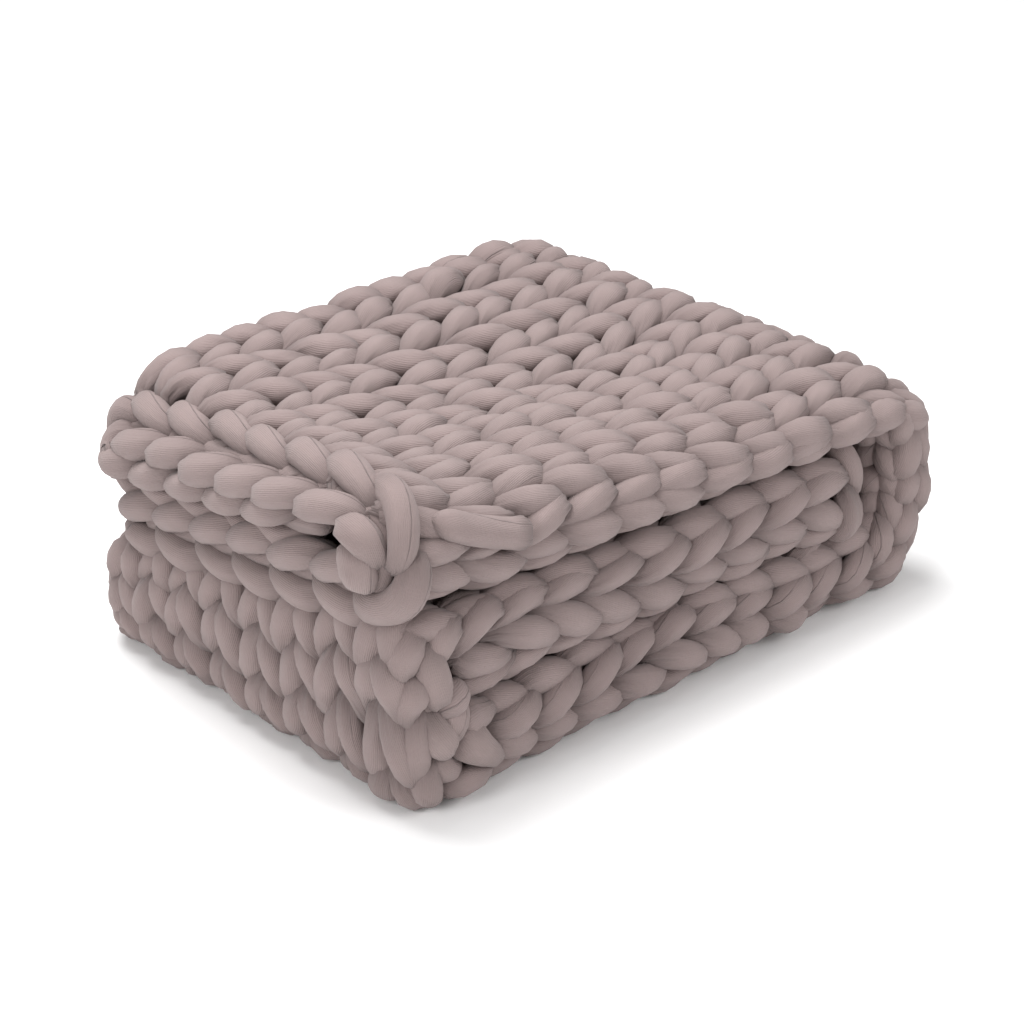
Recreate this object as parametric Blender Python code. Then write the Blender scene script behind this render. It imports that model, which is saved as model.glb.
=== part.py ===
"""Folded chunky hand-knit weighted blanket: one sheet, folded widthwise and then lengthwise.

The sheet is a closed slab measured by three sheet coordinates:
    w  across the wales, from the lower selvedge to the tucked selvedge
    s  along the wales, from the bind-off edge to the cast-on edge
    n  through the cloth, positive towards the outer face
The widthwise fold turns (w, n) into (y, height in the panel).  The lengthwise fold turns
(s, height in the panel) into (x, z).  settle() then gives the stack its slumped heights.
Metres, +Z up, the floor at z = 0.
"""

import math

import bpy
import numpy as np

# Folded size
FOLDED_LENGTH = 0.588
FOLDED_WIDTH = 0.406

# Cloth: thickness of a layer, the space left between layers and between panels
LAYER = 0.016
LAYER_GAP = 0.004
PANEL_GAP = 0.004
PANEL = 3 * LAYER + 2 * LAYER_GAP

# Knit: one wale is a column of V stitches, one course is a row of them
WALE = 0.0475
COURSES = 38
ROWS_PER_COURSE = 3
LEG_RELIEF = 0.013
LEG_SLANT = 1.15
GROOVE_SHARE = 0.12
TUCKED_SHARE = 0.35

# Widthwise fold: the lower third, the near turn, the outer third, the far turn, the tucked third
NEAR_RADIUS = (PANEL - LAYER) / 2
FAR_RADIUS = (LAYER + LAYER_GAP) / 2
NEAR_Y = -FOLDED_WIDTH / 2 + PANEL / 2
FAR_Y = FOLDED_WIDTH / 2 - FAR_RADIUS - LAYER / 2
LOWER_THIRD = 0.345
TUCKED_THIRD = 0.310
OUTER_HEIGHT = PANEL - LAYER / 2

# Lengthwise fold: the outer turn goes round the end of the middle panel
INNER_TURN = PANEL_GAP / 2
OUTER_TURN = PANEL / 2 + PANEL_GAP
RIGHT_X = FOLDED_LENGTH / 2 - OUTER_TURN - PANEL
LEFT_X = -FOLDED_LENGTH / 2 + INNER_TURN + PANEL
BIND_OFF_X = -FOLDED_LENGTH / 2 + 0.008
CAST_ON_X = RIGHT_X

# Slumped heights at the corners: near-left, far-left, near-right, far-right
TOP_HEIGHTS = (0.274, 0.233, 0.203, 0.220)
UNDER_TOP_HEIGHTS = (0.187, 0.106, 0.156, 0.138)
TOP_DIP = 0.011
NEAR_ROLL = 0.016
BIND_OFF_CURL = 0.034
BIND_OFF_DROOP = 0.012
UNDER_CURL = 0.012
CURL_LENGTH = 0.110
DROOP_LENGTH = 0.075
NOMINAL_TOP = 3 * PANEL + 2 * PANEL_GAP
NOMINAL_UNDER_TOP = 2 * PANEL + 1.5 * PANEL_GAP

# The left end reaches further out at the near corner, the far side is trimmed to the right
TOP_FLARE = 0.057
FLOOR_FLARE = 0.020
FLOOR_INSET = 0.002
TOP_FAR_REACH = 0.002
FAR_RIGHT_TRIM = 0.060

# The turns are fuller than half circles, the lower bind-off edges reach further out
TURN_FULLNESS = 0.75
LOWER_EDGE_REACH = 0.014
SCALLOP = 0.005

COLOUR = (0.40, 0.33, 0.315, 1.0)


class FoldPath:
    """Lengths of the stretches that one fold is made of, met one after another."""

    def __init__(self, lengths):
        self.ends = np.concatenate([[0.0], np.cumsum(lengths)])
        self.total = float(self.ends[-1])

    def stretch(self, position):
        """Index of the stretch that holds each position, and the way gone along it."""
        index = np.clip(np.searchsorted(self.ends, position, side="right") - 1, 0, 4)
        return index, position - self.ends[index]


ACROSS = FoldPath([LOWER_THIRD, math.pi * NEAR_RADIUS, FAR_Y - NEAR_Y,
                   math.pi * FAR_RADIUS, TUCKED_THIRD])
ALONG = FoldPath([RIGHT_X - BIND_OFF_X, math.pi * (OUTER_TURN + OUTER_HEIGHT),
                  RIGHT_X - LEFT_X, math.pi * (INNER_TURN + OUTER_HEIGHT),
                  CAST_ON_X - LEFT_X])
COURSE = ALONG.total / COURSES
NEAR_WALE = (ACROSS.ends[1] + ACROSS.ends[2]) / 2


def fold_widthwise(w, n):
    """Sheet position across and through the cloth to y and the height in the panel."""
    stretch, gone = ACROSS.stretch(w)
    near = gone / NEAR_RADIUS
    far = gone / FAR_RADIUS
    middle = OUTER_HEIGHT - FAR_RADIUS
    y = np.choose(stretch, [
        NEAR_Y + LOWER_THIRD - gone,
        NEAR_Y - (NEAR_RADIUS + n) * np.sin(near),
        NEAR_Y + gone,
        FAR_Y + (FAR_RADIUS + n) * np.sin(far),
        FAR_Y - gone,
    ])
    height = np.choose(stretch, [
        LAYER / 2 - n,
        PANEL / 2 - (NEAR_RADIUS + n) * np.cos(near),
        OUTER_HEIGHT + n,
        middle + (FAR_RADIUS + n) * np.cos(far),
        middle - FAR_RADIUS - n,
    ])
    return y, height


def full_turn(angle):
    """Sine and cosine of a turn that is squarer than a circle."""
    sine = np.abs(np.sin(angle)) ** TURN_FULLNESS
    cosine = np.sign(np.cos(angle)) * np.abs(np.cos(angle)) ** TURN_FULLNESS
    return sine, cosine


def fold_lengthwise(s, height):
    """Sheet position along the cloth and the height in the panel to x and the unsettled z."""
    stretch, gone = ALONG.stretch(s)
    outer_sine, outer_cosine = full_turn(gone / (OUTER_TURN + OUTER_HEIGHT))
    inner_sine, inner_cosine = full_turn(gone / (INNER_TURN + OUTER_HEIGHT))
    edge_reach = LOWER_EDGE_REACH * (1 - height / PANEL)
    x = np.choose(stretch, [
        BIND_OFF_X + gone - edge_reach * np.clip(1 - gone / DROOP_LENGTH, 0.0, 1.0),
        RIGHT_X + (OUTER_TURN + height) * outer_sine,
        RIGHT_X - gone,
        LEFT_X - (INNER_TURN + height) * inner_sine,
        LEFT_X + gone,
    ])
    z = np.choose(stretch, [
        2 * PANEL + 2 * PANEL_GAP + height,
        1.5 * PANEL + PANEL_GAP + (OUTER_TURN + height) * outer_cosine,
        PANEL - height,
        PANEL + INNER_TURN - (INNER_TURN + height) * inner_cosine,
        PANEL + PANEL_GAP + height,
    ])
    return x, z


def corner_mix(heights, along, across):
    """Height between four corner heights at the shares along x and across y."""
    near_left, far_left, near_right, far_right = heights
    near = near_left + (near_right - near_left) * along
    far = far_left + (far_right - far_left) * along
    return near + (far - near) * across


def settle(x, y, z):
    """Slump the neat stack: corner heights, dip, curled bind-off end, skewed edges."""
    along = np.clip(x / FOLDED_LENGTH + 0.5, 0.0, 1.0)
    across = np.clip(y / FOLDED_WIDTH + 0.5, 0.0, 1.0)
    top = corner_mix(TOP_HEIGHTS, along, across)
    top -= TOP_DIP * np.sin(math.pi * along) * np.sin(math.pi * across)
    top -= NEAR_ROLL * np.clip(1 - across / 0.3, 0.0, 1.0) ** 2
    end = np.clip(1 - (x - BIND_OFF_X) / CURL_LENGTH, 0.0, 1.0) ** 2
    top += (BIND_OFF_CURL * (1 - across) - BIND_OFF_DROOP * across) * end
    under = corner_mix(UNDER_TOP_HEIGHTS, along, across)
    under += UNDER_CURL * (1 - across) ** 2 * end
    above = (z - NOMINAL_UNDER_TOP) / (NOMINAL_TOP - NOMINAL_UNDER_TOP)
    settled = np.where(above < 0, z / NOMINAL_UNDER_TOP * under, under + above * (top - under))
    level = np.clip(z / NOMINAL_TOP, 0.0, 1.0)
    reach = FLOOR_FLARE + (TOP_FLARE - FLOOR_FLARE) * level
    flare = reach * (1 - across) * (1 - along) ** 2
    trim = FAR_RIGHT_TRIM * along ** 2 * across
    inset = FLOOR_INSET * (1 - level)
    far_reach = TOP_FAR_REACH * level * across
    x = x - flare - trim + inset * (1 - along)
    y = y + inset * (1 - across) + far_reach
    return x, y, np.maximum(settled, 0.0)


def place(w, s, n):
    """Sheet coordinates to the settled stack."""
    y, height = fold_widthwise(w, n)
    x, z = fold_lengthwise(s, height)
    return np.stack(settle(x, y, z), axis=-1)


def smooth_step(value):
    """Ease from 0 to 1."""
    value = np.clip(value, 0.0, 1.0)
    return value * value * (3 - 2 * value)


def openness(s):
    """How far the outer face is free to bulge: fully on the top and in the turns."""
    ends = ALONG.ends
    in_top = 1 - smooth_step((s - ends[2]) / COURSE + 1)
    in_left_turn = smooth_step((s - ends[3]) / COURSE) * (1 - smooth_step((s - ends[4]) / COURSE + 1))
    return np.maximum(in_top, in_left_turn)


def leg_relief(w, s, across_leg, ridge):
    """Height of the stitch legs above the slab at the knots of one column."""
    turn = np.clip((w - NEAR_WALE) / NEAR_RADIUS, -math.pi / 2, math.pi / 2)
    fade = np.cos(turn) ** 2
    share = fade if w < NEAR_WALE else fade + (1 - fade) * openness(s)
    tucked = 1.0 if 0.1 < across_leg < 0.9 else TUCKED_SHARE
    return LEG_RELIEF * share * tucked * np.where(ridge, 1.0, GROOVE_SHARE)


def edge_rounding(distance):
    """Share of the thickness left near a free edge of the sheet."""
    inside = np.clip(distance / LAYER, 0.0, 1.0)
    return 0.7 + 0.3 * np.sqrt(1 - (1 - inside) ** 2)


def row_numbers(fine_stretches):
    """Rows of knots that a column has: all where it is fine, every second one in the turns."""
    last = COURSES * ROWS_PER_COURSE
    rows = np.arange(last + 1)
    stretch, _ = ALONG.stretch(rows * COURSE / ROWS_PER_COURSE)
    fine = np.isin(stretch, fine_stretches)
    in_turn = np.isin(stretch, (1, 3)) & (rows % 2 == 0)
    sparse = rows % (2 * ROWS_PER_COURSE) == 0
    return rows[fine | in_turn | sparse | (rows == last)]


class Column:
    """One line of knots along the sheet, on the outer or the inner face."""

    def __init__(self, w, side, across_leg=None, fine_stretches=(), scallop=0.0):
        self.rows = row_numbers(fine_stretches)
        s = self.rows * COURSE / ROWS_PER_COURSE
        s[0] += scallop
        s[-1] -= scallop
        relief = np.zeros(len(s))
        if across_leg is not None:
            free = np.clip(np.minimum(s, ALONG.total - s) / COURSE, 0.0, 1.0)
            s = s + LEG_SLANT * (0.5 - across_leg) * COURSE * free
            relief = leg_relief(w, s, across_leg, self.rows % ROWS_PER_COURSE > 0)
        thick = LAYER / 2 * edge_rounding(np.minimum(s, ALONG.total - s))
        thick *= edge_rounding(min(w, ACROSS.total - w))
        self.points = place(np.full(len(s), w), s, side * (thick + relief))


def edge_columns(first, last):
    """Plain columns every half wale, whose ends make the scallops of the chain edges."""
    count = int(round((last - first) / WALE * 2)) + 1
    return [Column(w, 1, scallop=SCALLOP * (k % 2)) for k, w in enumerate(np.linspace(first, last, count))]


def outer_columns():
    """Columns of the outer face, from the lower selvedge round to the tucked selvedge."""
    first_wale = NEAR_WALE - 0.5 * WALE
    columns = edge_columns(0.0, first_wale - 0.5 * WALE)
    wales = int((ACROSS.ends[4] - first_wale) / WALE) + 1
    for wale in range(wales):
        at_edge = wale in (0, wales - 1)
        fine = (0, 1, 2, 3, 4) if at_edge else (0, 1, 3)
        for quarter in range(4):
            w = first_wale + (wale + quarter / 4) * WALE
            columns.append(Column(w, 1, abs(quarter - 2) / 2, fine))
    last = first_wale + wales * WALE
    columns.append(Column(last, 1, 1.0, (0, 1, 2, 3, 4)))
    columns += edge_columns(last + 0.5 * WALE, ACROSS.total)
    return columns


def inner_columns():
    """Columns of the inner face, from the tucked selvedge back to the lower selvedge."""
    ends = ACROSS.ends
    stations = np.concatenate([
        np.linspace(0.0, ends[1], 8)[:-1],
        np.linspace(ends[1], ends[2], 6)[:-1],
        np.linspace(ends[2], ends[3], 8)[:-1],
        np.linspace(ends[3], ends[4], 6)[:-1],
        np.linspace(ends[4], ends[5], 7),
    ])
    return [Column(w, -1) for w in stations[::-1]]


def zip_lines(first, second):
    """Triangles between two lines of (vertex, key, point), stepping on whichever line is behind.

    Where both next keys are equal, the shorter diagonal is taken.
    """
    faces = []
    i = j = 0
    while i < len(first) - 1 or j < len(second) - 1:
        if j == len(second) - 1:
            step_first = True
        elif i == len(first) - 1:
            step_first = False
        elif first[i + 1][1] != second[j + 1][1]:
            step_first = first[i + 1][1] < second[j + 1][1]
        else:
            across_first = np.linalg.norm(first[i + 1][2] - second[j][2])
            step_first = across_first < np.linalg.norm(second[j + 1][2] - first[i][2])
        if step_first:
            faces.append((first[i][0], first[i + 1][0], second[j][0]))
            i += 1
        else:
            faces.append((first[i][0], second[j + 1][0], second[j][0]))
            j += 1
    return faces


def build_sheet():
    """The whole slab as one closed mesh: both faces, the selvedges and the two ends."""
    outer = outer_columns()
    columns = outer + inner_columns()
    points = []
    lines = []
    for column in columns:
        numbers = range(len(points), len(points) + len(column.rows))
        lines.append(list(zip(numbers, column.rows, column.points)))
        points.extend(column.points)
    faces = []
    for k, line in enumerate(lines):
        faces += zip_lines(line, lines[(k + 1) % len(lines)])
    for end in (0, -1):
        front = [line[end] for line in lines[:len(outer)]]
        back = [line[end] for line in lines[:len(outer) - 1:-1]]
        front = [(knot[0], k / (len(front) - 1), knot[2]) for k, knot in enumerate(front)]
        back = [(knot[0], k / (len(back) - 1), knot[2]) for k, knot in enumerate(back)]
        strip = zip_lines(front, back)
        faces += [face[::-1] for face in strip] if end else strip
    return np.array(points), faces


def add_material(obj, name, colour):
    """Give the object its own matt cloth material."""
    material = bpy.data.materials.new(name)
    material.use_nodes = True
    shader = material.node_tree.nodes["Principled BSDF"]
    shader.inputs["Base Color"].default_value = colour
    shader.inputs["Roughness"].default_value = 0.9
    obj.data.materials.append(material)


def main():
    """Clear the scene and add the folded blanket."""
    for obj in list(bpy.data.objects):
        bpy.data.objects.remove(obj)
    points, faces = build_sheet()
    low = points.min(axis=0)
    high = points.max(axis=0)
    points -= np.array([(low[0] + high[0]) / 2, (low[1] + high[1]) / 2, low[2]])
    mesh = bpy.data.meshes.new("knit_blanket")
    mesh.from_pydata(points.tolist(), [], faces)
    mesh.validate()
    mesh.polygons.foreach_set("use_smooth", [True] * len(mesh.polygons))
    mesh.update()
    blanket = bpy.data.objects.new("knit_blanket", mesh)
    bpy.context.scene.collection.objects.link(blanket)
    add_material(blanket, "mauve_jersey", COLOUR)


main()
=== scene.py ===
"""Looks of the folded chunky-knit weighted blanket.

The blanket is one knitted sheet of a stuffed jersey tube.  Each course is one run of the tube
that loops through the course before it, and a braided chain of the same tube closes each end.
The sheet is folded in three across and then in three along.  The script lays every loop on the
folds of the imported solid, sweeps the soft tube along it, and dresses it in cotton jersey.

Sheet coordinates, in metres:
    w  across the wales, from the lower selvedge to the tucked selvedge
    s  along the wales, from the bind-off edge to the cast-on edge
    n  through the cloth, positive towards the outer face
"""

import logging
import math
from collections.abc import Callable
from dataclasses import astuple, dataclass, field
from enum import Enum
from functools import cached_property

import bpy
import numpy as np
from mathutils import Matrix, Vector


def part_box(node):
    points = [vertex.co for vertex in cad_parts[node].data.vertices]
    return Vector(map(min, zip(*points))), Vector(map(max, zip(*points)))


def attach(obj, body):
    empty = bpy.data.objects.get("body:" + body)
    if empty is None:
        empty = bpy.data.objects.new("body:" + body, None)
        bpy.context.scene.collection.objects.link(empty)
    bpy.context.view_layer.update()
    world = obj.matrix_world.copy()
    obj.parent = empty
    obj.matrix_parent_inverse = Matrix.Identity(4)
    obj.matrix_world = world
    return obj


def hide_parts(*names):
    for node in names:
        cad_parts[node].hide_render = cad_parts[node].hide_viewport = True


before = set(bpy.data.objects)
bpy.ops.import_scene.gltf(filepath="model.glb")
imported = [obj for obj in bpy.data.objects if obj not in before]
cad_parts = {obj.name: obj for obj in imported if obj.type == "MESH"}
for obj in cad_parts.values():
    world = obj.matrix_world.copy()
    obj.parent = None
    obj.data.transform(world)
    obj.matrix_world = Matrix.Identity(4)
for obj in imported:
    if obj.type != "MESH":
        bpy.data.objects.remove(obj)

LOG = logging.getLogger("weighted_blanket")
NODE = "knit_blanket"
BODY = "root"
MM = 0.001
SEED = 7

Array = np.ndarray
Pair = tuple[Array, Array]
Triple = tuple[float, float, float]


def smooth_step(value: Array) -> Array:
    """Ease from 0 to 1, flat outside."""
    value = np.clip(value, 0.0, 1.0)
    return value * value * (3 - 2 * value)


def window(place: Array, start: float, stop: float, fade: float, lead: float = 0, tail: float = 0) -> Array:
    """Ease up to 1 from the start and back to 0 from the stop, each so many fades early."""
    return smooth_step((place - start) / fade + lead) * (1 - smooth_step((place - stop) / fade + tail))


def mix(low: Array, high: Array, share: Array) -> Array:
    """Blend between two values."""
    return low + (high - low) * share


def unit(vectors: Array) -> Array:
    """Scale the vectors on the last axis to length one."""
    length = np.linalg.norm(vectors, axis=-1, keepdims=True)
    return vectors / np.maximum(length, 1e-12)


def run_along(points: Array) -> Array:
    """Distance gone along a line of points, at each of them."""
    return np.concatenate([[0.0], np.cumsum(np.linalg.norm(np.diff(points, axis=0), axis=1))])


def read_columns(places: Array, known: Array, rows: Array) -> Array:
    """Read each column of the rows, known at some places, at other places."""
    return np.stack([np.interp(places, known, column) for column in rows.T], axis=1)


@dataclass(frozen=True)
class Wave:
    """One sine wave over two coordinates."""

    size: float
    over_first: float
    over_second: float
    phase: float = 0.0

    def at(self, first: Array, second: Array) -> Array:
        """Its value at a place."""
        return self.size * np.sin(self.over_first * first + self.over_second * second + self.phase)


def ripple(waves: tuple[Wave, ...], first: Array, second: Array) -> Array:
    """Sum of the waves at a place."""
    return sum(wave.at(first, second) for wave in waves)


class FoldPath:
    """Lengths of the stretches that one fold is made of, met one after another."""

    def __init__(self, lengths: list[float]) -> None:
        """Add the lengths up to the places where each stretch ends."""
        self.ends = np.concatenate([[0.0], np.cumsum(lengths)])
        self.total = float(self.ends[-1])

    def stretch(self, position: Array) -> Pair:
        """Find the stretch of each position.

        Args:
            position: distances along the path.

        Returns:
            The index of the stretch, and the way gone along it.
        """
        last = len(self.ends) - 2
        index = np.clip(np.searchsorted(self.ends, position, side="right") - 1, 0, last)
        return index, position - self.ends[index]


@dataclass
class FoldedSheet:
    """The sheet's folds and slump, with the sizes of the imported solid."""

    folded_length: float = 0.588
    folded_width: float = 0.406
    layer: float = 0.016
    layer_gap: float = 0.004
    panel_gap: float = 0.004
    leg_relief: float = 0.013
    course: float = 0.047
    lower_third: float = 0.345
    tucked_third: float = 0.310
    top_heights: tuple[float, ...] = (0.274, 0.233, 0.203, 0.220)
    under_top_heights: tuple[float, ...] = (0.187, 0.106, 0.156, 0.138)
    top_dip: float = 0.011
    near_roll: float = 0.016
    near_roll_share: float = 0.3
    bind_off_inset: float = 0.008
    bind_off_curl: float = 0.034
    bind_off_droop: float = 0.012
    under_curl: float = 0.012
    curl_length: float = 0.110
    droop_length: float = 0.075
    top_flare: float = 0.057
    floor_flare: float = 0.020
    floor_inset: float = 0.002
    top_far_reach: float = 0.002
    far_right_trim: float = 0.060
    turn_fullness: float = 0.75
    lower_edge_reach: float = 0.014

    def __post_init__(self) -> None:
        """Work out the turns' radii and places from the driving sizes, and both fold paths."""
        self.panel = 3 * self.layer + 2 * self.layer_gap
        # Radii of the near and far turns at the middle of the cloth, and the places of their axes
        self.near_radius = (self.panel - self.layer) / 2
        self.far_radius = (self.layer + self.layer_gap) / 2
        self.near_y = -self.folded_width / 2 + self.panel / 2
        self.far_y = self.folded_width / 2 - self.far_radius - self.layer / 2
        # Height of the outer layer's middle in its panel
        self.outer_height = self.panel - self.layer / 2
        # Inside radii of the left turn and of the right one, which goes round the middle panel's end
        self.inner_turn = self.panel_gap / 2
        self.outer_turn = self.panel / 2 + self.panel_gap
        self.right_x = self.folded_length / 2 - self.outer_turn - self.panel
        self.left_x = -self.folded_length / 2 + self.inner_turn + self.panel
        self.bind_off_x = -self.folded_length / 2 + self.bind_off_inset
        # The lower third, near turn, outer third, far turn and tucked third
        self.across = FoldPath([self.lower_third, math.pi * self.near_radius, self.far_y - self.near_y,
                                math.pi * self.far_radius, self.tucked_third])
        # The top panel, right turn, floor panel, left turn and middle panel
        self.along = FoldPath([self.right_x - self.bind_off_x,
                               math.pi * (self.outer_turn + self.outer_height),
                               self.right_x - self.left_x,
                               math.pi * (self.inner_turn + self.outer_height),
                               self.right_x - self.left_x])
        # The middle of the near turn
        self.near_wale = float(self.across.ends[1] + self.across.ends[2]) / 2

    def fold_widthwise(self, w: Array, n: Array) -> Pair:
        """Fold the sheet across.

        Args:
            w: places across the sheet.
            n: heights above the middle of the cloth.

        Returns:
            y, and the height in the panel.
        """
        stretch, gone = self.across.stretch(w)
        near = gone / self.near_radius
        far = gone / self.far_radius
        middle = self.outer_height - self.far_radius
        y = np.choose(stretch, [
            self.near_y + self.lower_third - gone,
            self.near_y - (self.near_radius + n) * np.sin(near),
            self.near_y + gone,
            self.far_y + (self.far_radius + n) * np.sin(far),
            self.far_y - gone,
        ])
        height = np.choose(stretch, [
            self.layer / 2 - n,
            self.panel / 2 - (self.near_radius + n) * np.cos(near),
            self.outer_height + n,
            middle + (self.far_radius + n) * np.cos(far),
            middle - self.far_radius - n,
        ])
        return y, height

    def full_turn(self, angle: Array) -> Pair:
        """Sine and cosine of a turn that is squarer than a circle."""
        sine = np.abs(np.sin(angle)) ** self.turn_fullness
        cosine = np.sign(np.cos(angle)) * np.abs(np.cos(angle)) ** self.turn_fullness
        return sine, cosine

    def fold_lengthwise(self, s: Array, height: Array) -> Pair:
        """Fold the panel along.

        Args:
            s: places along the sheet.
            height: heights in the panel.

        Returns:
            x, and z before the stack settles.
        """
        stretch, gone = self.along.stretch(s)
        outer_sine, outer_cosine = self.full_turn(gone / (self.outer_turn + self.outer_height))
        inner_sine, inner_cosine = self.full_turn(gone / (self.inner_turn + self.outer_height))
        edge_reach = self.lower_edge_reach * (1 - height / self.panel)
        x = np.choose(stretch, [
            self.bind_off_x + gone - edge_reach * np.clip(1 - gone / self.droop_length, 0.0, 1.0),
            self.right_x + (self.outer_turn + height) * outer_sine,
            self.right_x - gone,
            self.left_x - (self.inner_turn + height) * inner_sine,
            self.left_x + gone,
        ])
        z = np.choose(stretch, [
            2 * self.panel + 2 * self.panel_gap + height,
            1.5 * self.panel + self.panel_gap + (self.outer_turn + height) * outer_cosine,
            self.panel - height,
            self.panel + self.inner_turn - (self.inner_turn + height) * inner_cosine,
            self.panel + self.panel_gap + height,
        ])
        return x, z

    @staticmethod
    def corner_mix(heights: tuple[float, ...], along: Array, across: Array) -> Array:
        """Blend four corner heights.

        Args:
            heights: near-left, far-left, near-right and far-right.
            along: shares of the way along x.
            across: shares of the way along y.

        Returns:
            The heights there.
        """
        near_left, far_left, near_right, far_right = heights
        near = mix(near_left, near_right, along)
        far = mix(far_left, far_right, along)
        return mix(near, far, across)

    def settle(self, x: Array, y: Array, z: Array) -> tuple[Array, ...]:
        """Slump the neat stack to its corner heights, dip, flare and trim.

        Args:
            x: places along the stack.
            y: places across it.
            z: heights in the neat stack.

        Returns:
            x, y and z in the slumped stack.
        """
        along = np.clip(x / self.folded_length + 0.5, 0.0, 1.0)
        across = np.clip(y / self.folded_width + 0.5, 0.0, 1.0)
        end = np.clip(1 - (x - self.bind_off_x) / self.curl_length, 0.0, 1.0) ** 2
        top = self.corner_mix(self.top_heights, along, across)
        top = top - self.top_dip * np.sin(math.pi * along) * np.sin(math.pi * across)
        top = top - self.near_roll * np.clip(1 - across / self.near_roll_share, 0.0, 1.0) ** 2
        top = top + mix(self.bind_off_curl, -self.bind_off_droop, across) * end
        under = self.corner_mix(self.under_top_heights, along, across)
        under = under + self.under_curl * (1 - across) ** 2 * end
        full = 3 * self.panel + 2 * self.panel_gap
        lower = 2 * self.panel + 1.5 * self.panel_gap
        above = (z - lower) / (full - lower)
        settled = np.where(above < 0, z / lower * under, under + above * (top - under))
        level = np.clip(z / full, 0.0, 1.0)
        flare = mix(self.floor_flare, self.top_flare, level) * (1 - across) * (1 - along) ** 2
        trim = self.far_right_trim * along ** 2 * across
        inset = self.floor_inset * (1 - level)
        x = x - flare - trim + inset * (1 - along)
        y = y + inset * (1 - across) + self.top_far_reach * level * across
        return x, y, settled

    def place(self, w: Array, s: Array, n: Array) -> Array:
        """Sheet coordinates to points of the settled stack, before it is centred."""
        y, height = self.fold_widthwise(w, n)
        x, z = self.fold_lengthwise(s, height)
        return np.stack(self.settle(x, y, z), axis=-1)


class OuterFace:
    """The outer face of the folded sheet, which the stitch legs touch from inside.

    The relief fades round the near turn: sooner towards the floor, later towards the lower third.
    """

    STEP = 1.5 * MM
    SAMPLES = (160, 320)
    FLOOR_FADE = 0.05
    FLOOR_QUICKENING = 0.9
    LOWER_SLOWING = 0.75
    TUCK_FADE = 0.03

    def __init__(self, sheet: FoldedSheet, low: Vector, high: Vector) -> None:
        """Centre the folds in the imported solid's box.

        Args:
            sheet: the folds.
            low: lowest corner of the solid's box.
            high: highest corner of the solid's box.
        """
        self.sheet = sheet
        self.offset = np.zeros(3)
        w, s = np.meshgrid(np.linspace(0, sheet.across.total, self.SAMPLES[0]),
                           np.linspace(0, sheet.along.total, self.SAMPLES[1]), indexing="ij")
        points = self.point(w.ravel(), s.ravel())
        middle = (points.min(axis=0) + points.max(axis=0)) / 2
        centre = (np.array(low) + np.array(high)) / 2
        self.offset = np.array([centre[0] - middle[0], centre[1] - middle[1], 0.0])

    def openness(self, s: Array) -> Array:
        """How far the outer face is free to bulge: fully on the top and in the left turn."""
        ends, course = self.sheet.along.ends, self.sheet.course
        in_top = 1 - smooth_step((s - ends[2]) / course + 1)
        return np.maximum(in_top, window(s, ends[3], ends[4], course, tail=1))

    def on_floor(self, s: Array) -> Array:
        """How much of a place lies in the floor panel, where the outer layer is pressed flat."""
        ends = self.sheet.along.ends
        return window(s, ends[2], ends[3], self.FLOOR_FADE, tail=1)

    def relief(self, w: Array, s: Array) -> Array:
        """Raise the face over the stitches where it is free to bulge.

        Args:
            w: places across the sheet.
            s: places along the sheet.

        Returns:
            Heights of the face above the middle of the cloth.
        """
        sheet = self.sheet
        turn = (w - sheet.near_wale) / sheet.near_radius
        turn = turn * np.where(turn > 0, 1 + self.FLOOR_QUICKENING * self.on_floor(s), self.LOWER_SLOWING)
        fade = np.cos(np.clip(turn, -math.pi / 2, math.pi / 2)) ** 2
        share = np.where(w < sheet.near_wale, fade, mix(fade, 1.0, self.openness(s)))
        share = share * (1 - smooth_step((w - sheet.across.ends[4]) / self.TUCK_FADE))
        return sheet.layer / 2 + sheet.leg_relief * share

    def point(self, w: Array, s: Array) -> Array:
        """Points of the face in the frame."""
        return self.sheet.place(w, s, self.relief(w, s)) + self.offset

    def frame_at(self, w: Array, s: Array) -> Pair:
        """Find the face and the way it looks.

        Args:
            w: places across the sheet.
            s: places along the sheet.

        Returns:
            Points of the face, and its outward unit normals.
        """
        step = self.STEP
        point = self.point(w, s)
        over_w = self.point(w + step, s) - self.point(w - step, s)
        over_s = self.point(w, s + step) - self.point(w, s - step)
        normal = unit(np.cross(over_w, over_s))
        outward = self.sheet.place(w, s, self.relief(w, s) + step) + self.offset - point
        facing = np.sign(np.sum(normal * outward, axis=-1, keepdims=True))
        return point, normal * np.where(facing == 0, 1.0, facing)


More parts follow.
